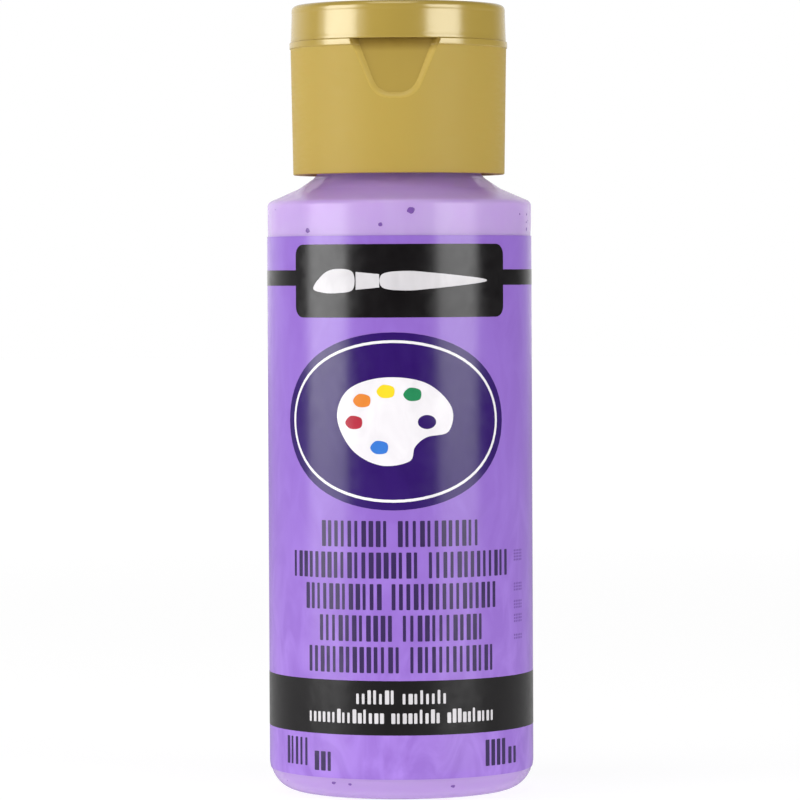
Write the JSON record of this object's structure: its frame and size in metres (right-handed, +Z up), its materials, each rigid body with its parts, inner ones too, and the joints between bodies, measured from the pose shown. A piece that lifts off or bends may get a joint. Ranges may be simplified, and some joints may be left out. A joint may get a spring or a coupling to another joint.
{
  "type": "paint bottle",
  "caption": "Round squeeze bottle of craft paint with a film label and a screw-on flip-top cap: snap-hinged lid, dispensing spout and sealing plug.",
  "frame": {"origin": "middle of the standing ring under the bottle, on the surface that it stands on", "axes": "+Z up along the bottle's and the neck's axis, -Y to the front of the label and the thumb recess of the cap, +Y to the hinge"},
  "size_m": [0.0348, 0.0347, 0.103],
  "materials": {
    "bottle_plastic": "translucent natural polyethylene, satin",
    "label_film": "clear film printed in purple, black and white, gloss",
    "paint": "liquid acrylic paint, wet gloss",
    "cap_plastic": "moulded polypropylene, satin",
    "lid_plastic": "moulded polypropylene, polished",
    "liner_foam": "white foamed sheet"
  },
  "bodies": {
    "bottle": {"bottle": "bottle_plastic", "label": "label_film", "paint": "paint", "paint_film": "paint"},
    "liner": {"liner": "liner_foam"},
    "closure": {"cap_base": "cap_plastic", "hinge_film_left": "cap_plastic", "hinge_film_right": "cap_plastic", "snap_strap": "cap_plastic"},
    "lid": {"lid": "lid_plastic"}
  },
  "joints": [
    {"name": "cap_lift", "type": "slide", "parent": "bottle", "child": "liner", "axis": [0, 0, 1], "range_m": [0, 0.0191]},
    {"name": "cap_turn", "type": "hinge", "parent": "liner", "child": "closure", "pos_m": [0, 0, 0.09], "axis": [0, 0, 1], "range_deg": [0, 2160]},
    {"name": "lid_hinge", "type": "hinge", "parent": "closure", "child": "lid", "pos_m": [0, 0.01375, 0.09815], "axis": [-1, 0, 0], "range_deg": [0, 165], "deforming": ["hinge_film_left", "hinge_film_right", "snap_strap"]}
  ],
  "couplings": [
    {"joint": "cap_lift", "follows": "cap_turn", "m_per_rad": 0.00050532}
  ]
}
